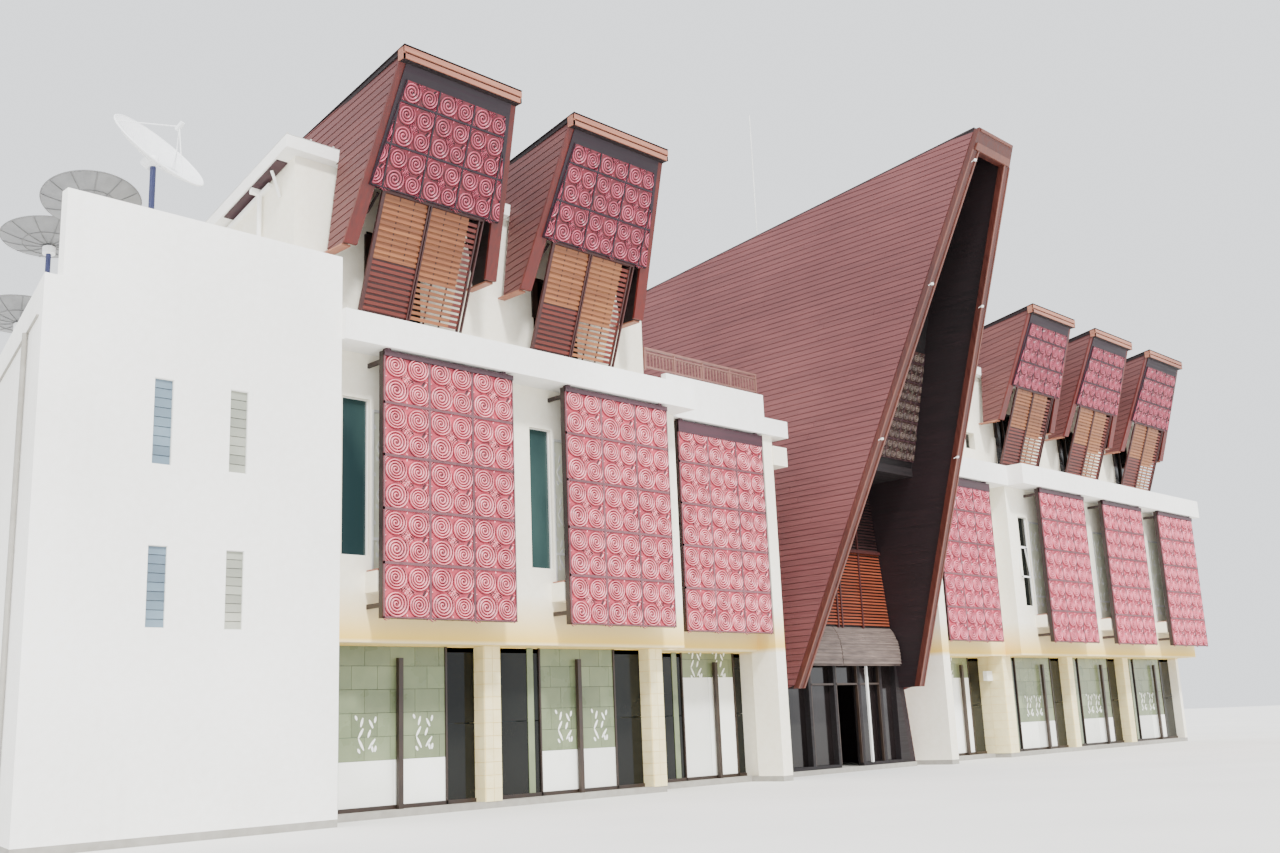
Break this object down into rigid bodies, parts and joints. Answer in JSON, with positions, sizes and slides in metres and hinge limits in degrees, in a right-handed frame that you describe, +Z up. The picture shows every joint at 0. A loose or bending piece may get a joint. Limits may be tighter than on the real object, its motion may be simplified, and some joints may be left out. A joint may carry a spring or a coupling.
{
  "type": "tongkonan-style hotel building, 1:2 scale model",
  "caption": "Long building in tongkonan style: a tall boat-roofed hall between two flat-roofed wings with carved facade panels and leaning dormers.",
  "frame": {"origin": "centre of the bounding box on the ground, on the centre line of the hall", "axes": "+Z up, the entrance front faces -Y, +X runs along the front towards the right wing"},
  "size_m": [26, 14.361, 11.5],
  "materials": {
    "concrete": "plain grey concrete",
    "siding": "mauve-brown horizontal boards",
    "verge": "red-brown painted boards",
    "dark_wood": "dark stained boards",
    "carving": "crimson painted relief",
    "glass": "greenish window glass",
    "awning_sheet": "weathered grey corrugated sheet",
    "rod": "white paint",
    "white_wall": "white painted render",
    "cream_wall": "cream painted render and tile",
    "railing": "brownish pink paint",
    "dish": "matt grey and white paint"
  },
  "bodies": {
    "root": {"ground_slab": "concrete", "hall_left_side": "siding", "hall_right_side": "siding", "hall_ridge_cap": "verge", "hall_front_verge": "verge", "hall_rear_verge": "verge", "hall_attic_floor": "dark_wood", "hall_front_gable": "dark_wood", "hall_rear_gable": "dark_wood", "hall_front_carving": "carving", "hall_rear_carving": "carving", "hall_front_wall": "dark_wood", "hall_rear_wall": "dark_wood", "hall_front_glass": "glass", "hall_rear_glass": "glass", "hall_awning": "awning_sheet", "lightning_rod": "rod", "left_wing_walls": "white_wall", "left_wing_first_floor": "cream_wall", "left_wing_second_floor": "cream_wall", "left_wing_ground_front": "cream_wall", "left_wing_ground_glass": "glass", "left_wing_upper_glass": "glass", "left_link": "white_wall", "left_wing_roof_slab": "white_wall", "left_top_floor_walls": "white_wall", "left_top_floor_roof": "white_wall", "terrace_railing": "railing", "left_stair_block": "white_wall", "right_wing_walls": "white_wall", "right_wing_first_floor": "cream_wall", "right_wing_second_floor": "cream_wall", "right_wing_ground_front": "cream_wall", "right_wing_ground_glass": "glass", "right_wing_upper_glass": "glass", "right_link": "white_wall", "right_wing_roof_slab": "white_wall", "right_top_floor_walls": "white_wall", "right_top_floor_roof": "white_wall", "left_bay_1_panel": "carving", "left_bay_1_dormer": "siding", "left_bay_1_dormer_front": "carving", "left_bay_2_panel": "carving", "left_bay_2_dormer": "siding", "left_bay_2_dormer_front": "carving", "left_bay_3_panel": "carving", "right_bay_1_panel": "carving", "right_bay_2_panel": "carving", "right_bay_2_dormer": "siding", "right_bay_2_dormer_front": "carving", "right_bay_3_panel": "carving", "right_bay_3_dormer": "siding", "right_bay_3_dormer_front": "carving", "right_bay_4_panel": "carving", "right_bay_4_dormer": "siding", "right_bay_4_dormer_front": "carving", "satellite_dish_1": "dish", "satellite_dish_2": "dish", "satellite_dish_3": "dish", "satellite_dish_4": "dish"}
  },
  "joints": []
}
